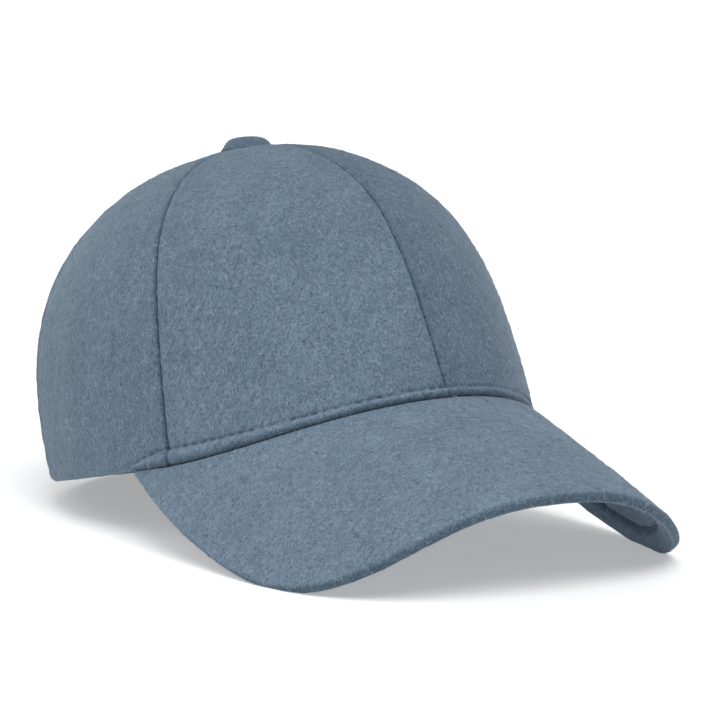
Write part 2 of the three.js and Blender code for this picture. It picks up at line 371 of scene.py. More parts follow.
def panel_points(angle, climb, from_rim, from_seam, seed, fold):
    """Outer and inner faces of a panel, and the painted light and shade at every corner."""
    base = crown_point(angle, climb)
    normal = crown_normal(angle, climb)
    degrees = np.degrees(angle)
    top = welt_height(angle)
    within = np.clip(from_rim / np.maximum(top, 1e-6), 0, 1)
    strength = np.clip(top / WELT_LOW, 0, 1)

    stitched = stitch_pull(angle, base)
    lies_flat = smooth((degrees - WELT_LIES_FLAT_FROM) / WELT_LIES_FLAT_OVER)
    uneven = 1 + WELT_UNEVENNESS * dents(base, 11, WELT_WAVES)
    proud = WELT_PROUD * uneven * (1 - WELT_FLATTENED * lies_flat)
    welt = strength * proud * np.sin(math.pi * within) ** WELT_ROUNDNESS
    crease = strength * (CREASE_DEPTH + STITCH_SINK * stitched) * bell(from_rim - top, CREASE_WIDTH)
    at_corner = smooth((degrees - CORNER_TUCK_FROM) / CORNER_TUCK_OVER)
    tucked = CORNER_TUCK * bell(from_rim, CORNER_TUCK_HEIGHT) * at_corner

    soft = soft_dents(base, from_rim)
    ripple = RIPPLE_DEPTH * dents(base, seed, RIPPLE_WAVES)
    allowance = 1 - smooth((from_seam - ALLOWANCE_WIDTH + ALLOWANCE_BLUR / 2) / ALLOWANCE_BLUR)
    wave = 2 * math.pi * from_rim / PUCKER_LENGTH + PUCKER_WANDER * dents(base, 21, PUCKER_WAVES)
    pucker = PUCKER_DEPTH * np.exp(-from_seam / PUCKER_REACH) * np.sin(wave)
    free = smooth((from_rim - top - CLEAR_OF_WELT) / CLEAR_OF_WELT_OVER)
    surface = welt - crease - tucked + soft + ripple + (ALLOWANCE_SHOWS * allowance + pucker) * free
    if fold:
        ridge = FOLD_RIDGE[0] * bell(from_seam - FOLD_RIDGE[1], FOLD_RIDGE[2])
        ditch = FOLD_DITCH[0] * bell(from_seam - FOLD_DITCH[1], FOLD_DITCH[2])
        place = bell(from_rim - FOLD_HEIGHT, FOLD_REACH) * np.where(angle < FOLD_SIDE, 1, 0)
        surface += place * (ridge - ditch)

    behind = smooth((np.abs(angle) - HEM_FROM) / HEM_OVER)
    edge_height = FRONT_EDGE_HEIGHT + (HEM_EDGE_HEIGHT - FRONT_EDGE_HEIGHT) * behind
    edge_depth = FRONT_EDGE_DEPTH + (HEM_EDGE_DEPTH - FRONT_EDGE_DEPTH) * behind
    in_hem = 1 - smooth((from_rim - HEM_HEIGHT + HEM_STEP) / HEM_STEP_BLUR)
    wall = WOOL_WALL + behind * (HEM_WALL - WOOL_WALL) * in_hem
    waver = 1 + FRONT_EDGE_VARIES * strength * dents(base, 17, FRONT_EDGE_WAVES)
    turned = rounded(from_rim, edge_height * waver, edge_depth)

    in_welt = 1 - smooth((from_rim - top + WELT_BLUR / 2) / WELT_BLUR)
    centre_seam = 1 - smooth((np.abs(degrees) - CENTRE_SEAM_REACH) / CENTRE_SEAM_BLUR)
    fades = centre_seam * smooth((from_rim - CENTRE_FADES_FROM) / CENTRE_FADES_OVER)
    shallow = (1 - SEAM_FADE_IN_WELT * strength * in_welt) * (1 - CENTRE_ROLL_FADE * fades)
    outer = surface - rounded(from_seam, SEAM_REACH, SEAM_SINK) * shallow - turned
    inner_edge = rounded(from_rim, INNER_EDGE_HEIGHT, 1) * (wall - edge_depth)
    doubled = ALLOWANCE_INSIDE * (allowance - INNER_SEAM_DIP * bell(from_seam, INNER_SEAM_WIDTH))
    above_hem = smooth((from_rim - HEM_HEIGHT - HEM_STEP) / INNER_SEAM_FADE)
    inner = soft - wall + inner_edge - doubled * above_hem

    # Painted shade in and beside the seams, in the crease, at the stitches and at the joint under the
    # welt, and a painted highlight near the welt's crest
    line, line_width = (seam + (centre - seam) * centre_seam
                        for seam, centre in zip(SEAM_PAINTED_SHADE, CENTRE_SEAM_PAINTED_SHADE))
    painted_light_values = line * (1 - CENTRE_LINE_FADE * fades) * bell(from_seam, line_width)
    painted_light_values += BESIDE_SEAM_PAINTED_SHADE[0] * bell(from_seam, BESIDE_SEAM_PAINTED_SHADE[1])
    painted_light_values += strength * (CREASE_PAINTED_SHADE[0] + STITCH_PAINTED_SHADE * stitched) * bell(from_rim - top, CREASE_PAINTED_SHADE[1])
    painted_light_values += JOINT_PAINTED_SHADOW[0] * strength * waver * bell(from_rim, JOINT_PAINTED_SHADOW[1] * waver)
    painted_light_values -= WELT_PAINTED_HIGHLIGHT[0] * strength * bell(within - WELT_HIGHLIGHT_AT, WELT_PAINTED_HIGHLIGHT[1])
    return base + normal * outer[..., None], base + normal * inner[..., None], painted_light_values


# Each panel has its own painted shade: the nap runs its own way on each, and the sheen and shade this
# gives under the light are painted in, which makes some panels look a little darker and one a little
# lighter.
PANEL_PAINTED_SHADING = {
    "panel_front_left": 0.3,
    "panel_front_right": -0.06,
    "panel_side_right": 0.06,
    "panel_back_right": 0.1,
}
panels = {}
nap_faces = []
for seed, (name, edges) in enumerate(PANEL_EDGES.items()):
    columns = PANEL_COLUMNS[name.split("_")[1]]
    outer, inner, painted_light_values = panel_points(*panel_rows(edges, columns), seed, name == "panel_front_left")
    nap_faces.append(outer)
    face = cloth_grid(f"wool_{name}", outer)
    lay_nap_and_painted_light(face, painted_light_values + PANEL_PAINTED_SHADING.get(name, 0))
    panels[name] = close_wall(face, cloth_grid("inner_face", inner))


def new_material(name):
    made = bpy.data.materials.new(name)
    made.use_nodes = True
    return made


def noise(made, place, scale, detail, distortion=0.0, roughness=0.5):
    node = made.node_tree.nodes.new("ShaderNodeTexNoise")
    node.inputs["Scale"].default_value = scale
    node.inputs["Detail"].default_value = detail
    node.inputs["Roughness"].default_value = roughness
    node.inputs["Distortion"].default_value = distortion
    made.node_tree.links.new(place, node.inputs["Vector"])
    return node.outputs["Fac"]


def colour_by(made, tone, tones):
    """Colours a material by a tone: each stop has its place and its colour, from dark to light."""
    nodes = made.node_tree.nodes
    ramp = nodes.new("ShaderNodeValToRGB")
    stops = ramp.color_ramp.elements
    for stop, (position, colour) in ((stops[0], tones[0]), (stops[1], tones[-1])):
        stop.position = position
        stop.color = colour
    for position, colour in tones[1:-1]:
        stops.new(position).color = colour
    made.node_tree.links.new(tone, ramp.inputs["Fac"])
    made.node_tree.links.new(ramp.outputs["Color"], nodes["Principled BSDF"].inputs["Base Color"])


def roughen(made, tone, strength, distance):
    """The finest relief follows the same tone as the colour."""
    bump = made.node_tree.nodes.new("ShaderNodeBump")
    bump.inputs["Strength"].default_value = strength
    bump.inputs["Distance"].default_value = distance
    made.node_tree.links.new(tone, bump.inputs["Height"])
    shader = made.node_tree.nodes["Principled BSDF"]
    made.node_tree.links.new(bump.outputs["Normal"], shader.inputs["Normal"])


def set_finish(made, finish):
    for socket, value in finish.items():
        made.node_tree.nodes["Principled BSDF"].inputs[socket].default_value = value


# Scale, detail and distortion of each noise in the wool, with its weight in the tone
NAP_STRETCH = 0.66
NOISE_ROUGHNESS = 0.6
GRAIN = ((1100, 3, 0), 0.44)
FINE_GRAIN = ((2700, 2, 0), 0.3)
MOTTLE = ((360, 2, 0.5), 0.13)
BROAD_TONE = ((60, 3, 0), 0.13)
STRAND_RIDGES = (620, 2, 1.6)
STRAND_THINNESS = 26
STRAND_PATCHES = (430, 1, 0)
PATCH_LIMIT = 0.47
STRANDS_SHOW = 0.22
PITS = (1050, 1, 0.6)
PIT_LIMIT = 0.61
EDGE_SHARPNESS = 9
PITS_SHOW = 0.16
PAINTED_LIGHT_SHOWS = 0.16
WOOL_TONES = (
    (0.27, (0.042, 0.07, 0.1045, 1)),
    (0.49, (0.103, 0.154, 0.21, 1)),
    (0.73, (0.226, 0.311, 0.394, 1)),
)
WOOL_FINISH = {
    "Roughness": 0.95,
    "Specular IOR Level": 0.15,
    "Sheen Weight": 0.25,
    "Sheen Roughness": 0.5,
    "Sheen Tint": (0.75, 0.85, 0.95, 1),
}


def wool_material():
    """Brushed melton: slate blue-grey fibres in lighter and darker tones, felted into a matt nap."""
    made = new_material("brushed_wool")
    nodes = made.node_tree.nodes
    links = made.node_tree.links
    brushed = nodes.new("ShaderNodeMapping")
    brushed.inputs["Scale"].default_value = (1, 1, NAP_STRETCH)
    links.new(nodes.new("ShaderNodeTexCoord").outputs["Object"], brushed.inputs["Vector"])

    def wool_noise(kind):
        return noise(made, brushed.outputs["Vector"], *kind, roughness=NOISE_ROUGHNESS)

    def combined(operation, first, second):
        node = nodes.new("ShaderNodeMath")
        node.operation = operation
        for socket, value in zip(node.inputs, (first, second)):
            if isinstance(value, (int, float)):
                socket.default_value = value
            else:
                links.new(value, socket)
        return node.outputs[0]

    def above(value, limit, sharpness):
        """0 below a limit and soon 1 above it, or the reverse where the sharpness is negative."""
        node = nodes.new("ShaderNodeClamp")
        links.new(combined("MULTIPLY", combined("SUBTRACT", value, limit), sharpness),
                  node.inputs["Value"])
        return node.outputs[0]

    tone = combined("MULTIPLY", wool_noise(GRAIN[0]), GRAIN[1])
    for kind, weight in (FINE_GRAIN, MOTTLE, BROAD_TONE):
        tone = combined("ADD", tone, combined("MULTIPLY", wool_noise(kind), weight))
    from_ridge = combined("ABSOLUTE", combined("SUBTRACT", wool_noise(STRAND_RIDGES), 0.5), 0)
    on_ridge = above(from_ridge, 1 / STRAND_THINNESS, -STRAND_THINNESS)
    in_patch = above(wool_noise(STRAND_PATCHES), PATCH_LIMIT, EDGE_SHARPNESS)
    strands = combined("MULTIPLY", on_ridge, in_patch)
    tone = combined("ADD", tone, combined("MULTIPLY", strands, STRANDS_SHOW))
    pits = above(wool_noise(PITS), PIT_LIMIT, EDGE_SHARPNESS)
    tone = combined("SUBTRACT", tone, combined("MULTIPLY", pits, PITS_SHOW))
    # Painted light and shade from each piece's corners darkens or lightens the tone
    painted_light_values = nodes.new("ShaderNodeAttribute")
    painted_light_values.attribute_name = "nap_and_painted_light"
    tone = combined("SUBTRACT", tone, combined("MULTIPLY", painted_light_values.outputs["Fac"], PAINTED_LIGHT_SHOWS))
    colour_by(made, tone, WOOL_TONES)
    roughen(made, tone, strength=0.7, distance=0.0004)
    set_finish(made, WOOL_FINISH)
    return made


wool = wool_material()


def finish_piece(piece, material, slot, *nodes):
    """Gives a piece its material, and lets it stand for CAD nodes; the slot is not used."""
    piece.data.materials.clear()
    piece.data.materials.append(material)
    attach(piece, "root")
    if nodes:
        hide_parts(*nodes)


# Cut sizes of a panel, with its seam allowances and turned edge
PANEL_CUT = {"front": (0.118, 0.172), "side": (0.108, 0.16), "back": (0.104, 0.166)}
for name, piece in panels.items():
    finish_piece(piece, wool, "wool", name)
    width, length = PANEL_CUT[name.split("_")[1]]

# Crown stitching: one row of long lockstitches in matching thread above the brim. It holds the
# turned edge down, lies in the crease that it pulls, and runs out at the brim's corners.
THREAD_RADIUS = 0.00021
STITCH_SHOWS = 0.0028
STITCH_RISE = 0.00016
STITCH_DIVES = 0.0006
STITCH_RINGS = 5
STITCH_SIDES = 5
STITCH_SQUARENESS = 6
STITCH_END_THICKNESS = 0.35
ROW_END = math.radians(75.2)
THREAD_FINISH = {"Roughness": 0.6, "Sheen Weight": 0.2}


def mesh_piece(name, points, faces):
    """A piece from points and faces, for what repeats too often to be copied by hand."""
    mesh = bpy.data.meshes.new(name)
    mesh.from_pydata(settle(points).reshape(-1, 3).tolist(), [], faces)
    piece = bpy.data.objects.new(name, mesh)
    bpy.context.collection.objects.link(piece)
    return piece


def stitch_mesh(name, firsts, lasts, normals, radius):
    """One mesh of many stitches: each a bent thread whose two ends dive into the cloth."""
    steps = np.linspace(0, 1, STITCH_RINGS)
    firsts, lasts, normals = (np.array(given) for given in (firsts, lasts, normals))
    along = unit(lasts - firsts)
    beside = np.cross(along, normals)
    height = STITCH_RISE - STITCH_DIVES * np.abs(2 * steps - 1) ** STITCH_SQUARENESS
    turns = np.linspace(0, 2 * math.pi, STITCH_SIDES, endpoint=False)
    points = []
    for step, lift in zip(steps, height):
        middle = firsts + (lasts - firsts) * step + normals * lift
        thick = radius * (STITCH_END_THICKNESS if step in (0, 1) else 1)
        for turn in turns:
            points.append(middle + (beside * math.cos(turn) + normals * math.sin(turn)) * thick)
    points = np.array(points).transpose(1, 0, 2)
    one = []
    for ring in range(STITCH_RINGS - 1):
        for side in range(STITCH_SIDES):
            after = (side + 1) % STITCH_SIDES
            low = ring * STITCH_SIDES
            one.append((low + side, low + STITCH_SIDES + side, low + STITCH_SIDES + after, low + after))
    one.append(tuple(range(STITCH_SIDES)))
    one.append(tuple(reversed(range(points.shape[1] - STITCH_SIDES, points.shape[1]))))
    faces = []
    for stitch in range(len(points)):
        start = stitch * points.shape[1]
        faces += [tuple(start + corner for corner in face) for face in one]
    piece = mesh_piece(name, points, faces)
    bpy.ops.object.select_all(action="DESELECT")
    piece.select_set(True)
    bpy.context.view_layer.objects.active = piece
    bpy.ops.object.mode_set(mode="EDIT")
    bpy.ops.mesh.select_all(action="SELECT")
    bpy.ops.mesh.normals_make_consistent(inside=False)
    bpy.ops.object.mode_set(mode="OBJECT")
    bpy.ops.object.shade_smooth()
    return piece


def thread_material(name, dark, light):
    """Spun polyester thread: slightly uneven in tone, and a little smoother than the wool."""
    made = new_material(name)
    place = made.node_tree.nodes.new("ShaderNodeTexCoord").outputs["Object"]
    fuzz = noise(made, place, scale=1800, detail=3)
    colour_by(made, fuzz, ((0.35, dark), (0.7, light)))
    roughen(made, fuzz, strength=0.5, distance=0.0001)
    set_finish(made, THREAD_FINISH)
    return made


def row_spot(angle):
    """Where the crown's stitch row lies, at the bottom of its crease, and which way is out."""
    top = welt_height(angle)
    climb = climb_at(angle, rim_height(angle) + top)
    normal = crown_normal(angle, climb)
    point = crown_point(angle, climb)
    depth = CREASE_DEPTH + STITCH_SINK - soft_dents(point, top)
    return point - normal * depth[..., None], normal


# The same thread as on the brim, coloured darker here as painted shade of the crease that it lies in
thread_painted_dark = thread_material("thread_painted_dark", (0.034, 0.052, 0.072, 1), (0.068, 0.1, 0.132, 1))
fine = np.linspace(-ROW_END, ROW_END, 6000)
lengths = along_joint(fine)
last_stitch = int(lengths[-1] / STITCH_PITCH)
middles = (np.arange(-last_stitch, last_stitch) + 0.5) * STITCH_PITCH
firsts, _ = row_spot(np.interp(middles - STITCH_SHOWS / 2, lengths, fine))
lasts, _ = row_spot(np.interp(middles + STITCH_SHOWS / 2, lengths, fine))
_, normals = row_spot(np.interp(middles, lengths, fine))
crown_stitches = stitch_mesh("crown_stitches", firsts, lasts, normals, THREAD_RADIUS)
finish_piece(crown_stitches, thread_painted_dark, "wool")

# Brim: a curved plastic board between two layers of the same wool, sewn together in rows
# that follow its edge. The top layer is turned over the edge and makes a soft roll round it.
BRIM_TIP = 0.1784
BRIM_HALF_WIDTH = 0.0881
BRIM_WIDEST_AT = 0.0787
BRIM_SQUARENESS = 2.39
BRIM_SIDE_SHARE = 0.22
BRIM_FALL = math.radians(18.7)
BRIM_CURL = 0.065
BRIM_CURL_GROWTH = 4.2
BRIM_CURL_POWER = 2.55
BRIM_CURL_AT = 0.1
BRIM_BULGE = 0.0014
BRIM_UPRIGHT_SHARE = 0.12
BRIM_LEFT_BEND = 0.0013
BRIM_LEFT_BEND_AT = 0.4
BRIM_LEFT_BEND_WIDTH = 0.13
CORNER_FROM = 0.93
CORNER_RISE = 0.0006
CORNER_RISE_OVER = 0.05


def edge_fall(side, fore):
    ahead = fore - REACH["front"]
    curl = BRIM_CURL * (1 + BRIM_CURL_GROWTH * ahead) * (side / BRIM_CURL_AT) ** BRIM_CURL_POWER
    return math.tan(BRIM_FALL) * ahead + curl


def brim_edge(share):
    """The brim's outer edge, from the middle of the front to a corner of the joint."""
    corner = crown_point(np.array(JOINT_END), np.array(0.0))
    front_share = 1 - BRIM_SIDE_SHARE
    turn = np.minimum(np.abs(share) / front_share, 1) * math.pi / 2
    sideways = np.sin(turn) / BRIM_HALF_WIDTH
    forwards = np.maximum(np.cos(turn), 0) / (BRIM_TIP - BRIM_WIDEST_AT)
    reach = (sideways**BRIM_SQUARENESS + forwards**BRIM_SQUARENESS) ** (-1 / BRIM_SQUARENESS)
    backwards = np.maximum(np.abs(share) - front_share, 0) / BRIM_SIDE_SHARE
    side = reach * np.sin(turn) - (BRIM_HALF_WIDTH - corner[0]) * backwards**2
    fore = BRIM_WIDEST_AT + reach * np.cos(turn) - (BRIM_WIDEST_AT + corner[1]) * backwards
    height = edge_fall(corner[0], -corner[1]) - edge_fall(side, fore)
    height += CORNER_RISE * smooth((np.abs(share) - CORNER_FROM) / CORNER_RISE_OVER)
    height += BRIM_LEFT_BEND * bell(share - BRIM_LEFT_BEND_AT, BRIM_LEFT_BEND_WIDTH)
    return np.stack([np.sign(share) * side, -fore, height], -1)


def brim_top(share, out):
    """A point on the brim's top: out runs from 0 at the joint to 1 at the edge."""
    angle = share * JOINT_END
    joint = crown_point(angle, climb_at(angle, joint_height(angle)))
    point = joint + (brim_edge(share) - joint) * out[..., None]
    point[..., 2] += BRIM_BULGE * 4 * out * (1 - out) * (1 - share**4)
    return point


def brim_normal(share, out):
    step = 0.001
    at = np.clip(out, 50 * step, 1 - 50 * step)
    along = brim_top(share + step, at) - brim_top(share - step, at)
    outwards = brim_top(share, at + step) - brim_top(share, at - step)
    square = unit(np.cross(outwards, along))
    upright = np.minimum(out / BRIM_UPRIGHT_SHARE, 1)[..., None]
    return unit(np.array([0, 0, 1]) * (1 - upright) + square * upright)


def from_edge(points, edge):
    """Distance of points on the brim from its outer edge."""
    flat = points.reshape(-1, 3)
    nearest = np.full(len(flat), np.inf)
    for mark in edge:
        nearest = np.minimum(nearest, ((flat - mark) ** 2).sum(-1))
    return np.sqrt(nearest).reshape(points.shape[:-1])


TOPSTITCH_ROWS = 8
TOPSTITCH_FIRST = 0.0104
TOPSTITCH_APART = 0.0058
TOPSTITCH_DEPTH = 0.0003
TOPSTITCH_WIDTH = 0.0009
UNDER_HEM = 0.007
UNDER_HEM_BLUR = 0.0036


def stitch_grooves(away):
    """How far the rows of stitches pull the wool down."""
    depth = np.zeros_like(away)
    for row in range(TOPSTITCH_ROWS):
        depth += TOPSTITCH_DEPTH * bell(away - TOPSTITCH_FIRST - row * TOPSTITCH_APART, TOPSTITCH_WIDTH)
    return depth


def under_hollow(away):
    """The underside lies higher inside the first row, and swells to a soft hem outside it."""
    return smooth((away - UNDER_HEM) / UNDER_HEM_BLUR)


def merge_and_close(threshold, close):
    """Joins corners that lie together, closes what is left open and turns all faces outwards."""
    bpy.ops.object.mode_set(mode="EDIT")
    bpy.ops.mesh.select_mode(type="VERT")
    bpy.ops.mesh.select_all(action="SELECT")
    bpy.ops.mesh.remove_doubles(threshold=threshold)
    bpy.ops.mesh.select_all(action="DESELECT")
    bpy.ops.mesh.select_non_manifold(use_wire=False, use_multi_face=False, use_non_contiguous=False,
                                     use_verts=False)
    close()
    bpy.ops.mesh.select_all(action="SELECT")
    bpy.ops.mesh.normals_make_consistent(inside=False)
    bpy.ops.object.mode_set(mode="OBJECT")
    bpy.ops.object.shade_smooth()


BRIM_SECTIONS = 400
BRIM_TOP_ROWS = 80
BRIM_TOP_CLOSENESS = 1.4
BRIM_UNDER_ROWS = 72
BRIM_UNDER_CLOSENESS = 1.7
BRIM_ROLL_ROWS = 14
BRIM_LAST_SHARE = 0.99
BRIM_THICKNESS = 0.0039
BRIM_CORNER_THICKNESS = 0.0018
BRIM_THINNING_SHARE = 0.2
CORNER_TAPER = 0.55
CORNER_TAPER_OVER = 0.06
BRIM_TUCK = 0.0023
BRIM_TUCK_DROP = 0.0006
CORNER_TUCK_RISE = 0.0022
CORNER_TUCK_RISES_FROM = 0.8
CORNER_TUCK_RISES_OVER = 0.15
ROLL_WIDTH_SHARE = 0.45
JOINT_FADE = 0.06
ROLL_FADE = 0.04
EDGE_SQUARENESS = 0.66
EDGE_WAVER = 0.00016
EDGE_WAVES = (0.007, 0.011, 0.018)
TOP_WAVER = 0.00012
TOP_WAVES = (0.008, 0.013, 0.021, 0.035)
UNDER_WAVER = 0.00015
UNDER_WAVES = (0.009, 0.014, 0.022, 0.04)
LIP_PROUD = 0.0004
LIP_TURN = 2.35
LIP_WIDTH = 0.3
UNDER_HOLLOW = 0.0014
UNDER_ROW_DEPTH = 0.0008
UNDER_ROW_WIDTH = 0.0008
# Painted light and shade on the brim: lighter on top, painted shade on the roll, darkest where it faces
# down, and a painted highlight at the lip below it
BRIM_TOP_PAINTED_LIGHT = -0.25
ROLL_TURNS = (0, 0.9, 1.9, 2.35, 2.8)
ROLL_PAINTED_SHADE = (-0.2, 0.75, 1.15, -0.5, 0.1)
UNDER_HEM_TONE = 0.2
UNDER_INNER_PAINTED_LIGHT = -0.2
UNDER_ROW_PAINTED_SHADE = 1.1
UNDER_ROW_SHADE_WIDTH = 0.0009

share = np.linspace(-BRIM_LAST_SHARE, BRIM_LAST_SHARE, BRIM_SECTIONS + 1)
from_corner = np.clip((1 - np.abs(share)) / BRIM_THINNING_SHARE, 0, 1)
thickness = BRIM_CORNER_THICKNESS + (BRIM_THICKNESS - BRIM_CORNER_THICKNESS) * from_corner
thickness *= 1 - CORNER_TAPER * smooth((np.abs(share) - CORNER_FROM) / CORNER_TAPER_OVER)
edge = brim_edge(share)
width = np.linalg.norm(edge - brim_top(share, np.zeros_like(share)), axis=-1)
roll_share = np.minimum(thickness / 2, ROLL_WIDTH_SHARE * width) / width
tuck = brim_top(share, np.zeros_like(share))
tuck -= unit(tuck * np.array([1, 1, 0])) * BRIM_TUCK
tuck_rise = smooth((np.abs(share) - CORNER_TUCK_RISES_FROM) / CORNER_TUCK_RISES_OVER)
tuck[:, 2] += CORNER_TUCK_RISE * tuck_rise - BRIM_TUCK_DROP
loop = [tuck]
painted_tone_rows = [np.zeros_like(share)]
for part in 1 - np.linspace(1, 0, BRIM_TOP_ROWS + 1) ** BRIM_TOP_CLOSENESS:
    out = part * (1 - roll_share)
    points = brim_top(share, out)
    inside = smooth((1 - part) / ROLL_FADE) * smooth(part / JOINT_FADE)
    lift = TOP_WAVER * dents(points, 31, TOP_WAVES) - stitch_grooves(from_edge(points, edge)) * inside
    loop.append(points + brim_normal(share, out) * (lift * smooth(part / JOINT_FADE))[:, None])
    painted_tone_rows.append(np.full_like(share, BRIM_TOP_PAINTED_LIGHT))
for turn in np.linspace(0, math.pi, BRIM_ROLL_ROWS + 1)[1:-1]:
    waver = EDGE_WAVER * dents(edge, 33, EDGE_WAVES) * math.sin(turn)
    out = 1 - roll_share * (1 - math.sin(turn) ** EDGE_SQUARENESS) + waver / width
    points = brim_top(share, out)
    down = 1 - math.copysign(abs(math.cos(turn)) ** EDGE_SQUARENESS, math.cos(turn))
    lip = LIP_PROUD * bell(turn - LIP_TURN, LIP_WIDTH)
    lift = TOP_WAVER * dents(points, 31, TOP_WAVES) - lip - thickness / 2 * down
    loop.append(points + brim_normal(share, out) * lift[:, None])
    painted_tone_rows.append(np.full_like(share, np.interp(turn, ROLL_TURNS, ROLL_PAINTED_SHADE)))
for part in 1 - np.linspace(0, 1, BRIM_UNDER_ROWS + 1) ** BRIM_UNDER_CLOSENESS:
    out = part * (1 - roll_share)
    points = brim_top(share, out)
    away = from_edge(points, edge)
    inside = smooth(part / JOINT_FADE) * np.minimum(thickness / BRIM_THICKNESS, 1)
    first_row = UNDER_ROW_DEPTH * bell(away - TOPSTITCH_FIRST, UNDER_ROW_WIDTH)
    hollow = UNDER_HOLLOW * under_hollow(away)
    lift = stitch_grooves(away) + first_row + hollow + UNDER_WAVER * dents(points, 32, UNDER_WAVES)
    loop.append(points + brim_normal(share, out) * (lift * inside - thickness)[:, None])
    # Below: darker on the hem, painted light inside it, and painted shade along the first row of stitches
    painted_light_values = UNDER_HEM_TONE + (UNDER_INNER_PAINTED_LIGHT - UNDER_HEM_TONE) * under_hollow(away)
    painted_tone_rows.append(painted_light_values + UNDER_ROW_PAINTED_SHADE * bell(away - TOPSTITCH_FIRST, UNDER_ROW_SHADE_WIDTH))
loop += [tuck - np.array([0, 0, 1]) * thickness[:, None], tuck]
painted_tone_rows += [np.zeros_like(share)] * 2
brim = cloth_grid("wool_brim", np.array(loop).transpose(1, 0, 2))
lay_nap_and_painted_light(brim, np.array(painted_tone_rows).T)
merge_and_close(threshold=0.000002, close=bpy.ops.mesh.fill)
finish_piece(brim, wool, "wool", "brim")

# Brim stitching: eight rows through the brim, each at an even distance from its edge. The thread is
# coloured paler than the crown's as painted light, and shows on both sides as short stitches in soft
# grooves.
TOPSTITCH_PITCH = 0.0038
TOPSTITCH_SHOWS = 0.003
BRIM_THREAD_RADIUS = 0.00018
BRIM_THREAD_SINK = 0.0002
ROW_STOPS_SHORT = 0.001

sections = np.linspace(-0.97, 0.97, 300)
steps = np.linspace(0.02, 0.995, 90)
distance = from_edge(brim_top(*np.meshgrid(sections, steps, indexing="ij")), edge)


def stitch_ends(line, normals, pitch, shows, end_gap):
    """Ends and normals of a row of stitches, evenly spaced along a line of points on the cloth."""
    length = run_length(line)
    middles = np.arange(pitch, length[-1] - end_gap, pitch)

    def along(values, at):
        return np.stack([np.interp(at, length, values[:, axis]) for axis in range(3)], -1)

    return (along(line, middles - shows / 2), along(line, middles + shows / 2),
            unit(along(normals, middles)))


def brim_row(away, depth, under):
    """One row on top or below, at a distance from the brim's edge and a depth in the wool."""
    reached = distance.max(axis=1) > away + ROW_STOPS_SHORT
    spots = [(section, np.interp(-away, -line, steps))
             for section, line in zip(sections[reached], distance[reached])]
    row_share, row_out = np.array(spots).T
    places = brim_top(row_share, row_out)
    normals = brim_normal(row_share, row_out)
    if not under:
        return places - normals * depth, normals
    drop = np.interp(np.abs(row_share), [1 - BRIM_THINNING_SHARE, 1],
                     [BRIM_THICKNESS, BRIM_CORNER_THICKNESS])
    drop -= drop / BRIM_THICKNESS * UNDER_HOLLOW * under_hollow(np.array(away))
    return places - normals * (drop - depth)[:, None], -normals


rows = []
for row in range(TOPSTITCH_ROWS):
    for under in (False, True):
        line, normals = brim_row(TOPSTITCH_FIRST + row * TOPSTITCH_APART,
                                 TOPSTITCH_DEPTH + BRIM_THREAD_SINK, under)
        rows.append(stitch_ends(line, normals, TOPSTITCH_PITCH, TOPSTITCH_SHOWS, TOPSTITCH_PITCH / 2))
firsts, lasts, normals = (np.concatenate(given) for given in zip(*rows))
brim_stitches = stitch_mesh("brim_stitches", firsts, lasts, normals, BRIM_THREAD_RADIUS)
thread_painted_light = thread_material("thread_painted_light", (0.1, 0.145, 0.19, 1), (0.2, 0.27, 0.335, 1))
finish_piece(brim_stitches, thread_painted_light, "wool")

# Button: a small metal button covered in the same wool, gathered under its edge.
# Its shank goes down through the hole where the six panels meet.
BUTTON_RADIUS = 0.0102
BUTTON_HEIGHT = 0.0049
BUTTON_SIDE_SLOPE = 0.62
BUTTON_FLARE = 0.16
BUTTON_TOP_FLATNESS = 0.74
BUTTON_RINGS = 21
BUTTON_SIDES = 102
BUTTON_MIDDLE_RADIUS = 0.0001
BUTTON_FOOT = 0.0003
BUTTON_SET_IN = 0.0008
BUTTON_LEAN = 0.05
BUTTON_LEANS_TO = math.radians(146)
BUTTON_GATHERS = 17
BUTTON_NAP = 0.3
GATHER_DEPTH = 0.00016
GATHERED_FROM = 0.75
GATHER_HEIGHT = 0.004
SHANK_RADIUS = 0.0022
SHANK_LENGTH = 0.003
# The underside, from the shank out to the rim, as radius and height
UNDERSIDE = [(SHANK_RADIUS, 0.0), (0.006, -0.0003), (0.009, -0.0012), (0.0098, -0.0012)]

turns = np.linspace(0, 2 * math.pi, BUTTON_SIDES + 1)
profile = [(SHANK_RADIUS, -SHANK_LENGTH)] + UNDERSIDE
for climb in np.linspace(0, math.pi / 2, BUTTON_RINGS + 1)[:-1]:
    rise = math.sin(climb) ** BUTTON_TOP_FLATNESS
    dome = (1 - BUTTON_FLARE) * math.cos(climb) ** BUTTON_SIDE_SLOPE + BUTTON_FLARE * (1 - rise) ** 3
    profile.append((BUTTON_RADIUS * dome, BUTTON_HEIGHT * rise - BUTTON_SET_IN))
profile.append((BUTTON_MIDDLE_RADIUS, BUTTON_HEIGHT - BUTTON_SET_IN))
rings = []
for radius, height in profile:
    outwards = smooth((radius / BUTTON_RADIUS - GATHERED_FROM) / (1 - GATHERED_FROM))
    outwards *= 1 - smooth(height / GATHER_HEIGHT)
    gathered = radius - GATHER_DEPTH * outwards * (1 + np.sin(BUTTON_GATHERS * turns))
    lean = BUTTON_LEAN * gathered * np.cos(turns - BUTTON_LEANS_TO)
    rings.append(np.stack([gathered * np.cos(turns), gathered * np.sin(turns),
                           CROWN_HEIGHT + BUTTON_FOOT + height + lean], -1))
button = cloth_grid("wool_button", np.array(rings))
lay_nap_and_painted_light(button, np.full(len(button.data.vertices), BUTTON_NAP))
merge_and_close(threshold=0.000001, close=bpy.ops.mesh.edge_face_add)
finish_piece(button, wool, "wool", "button")

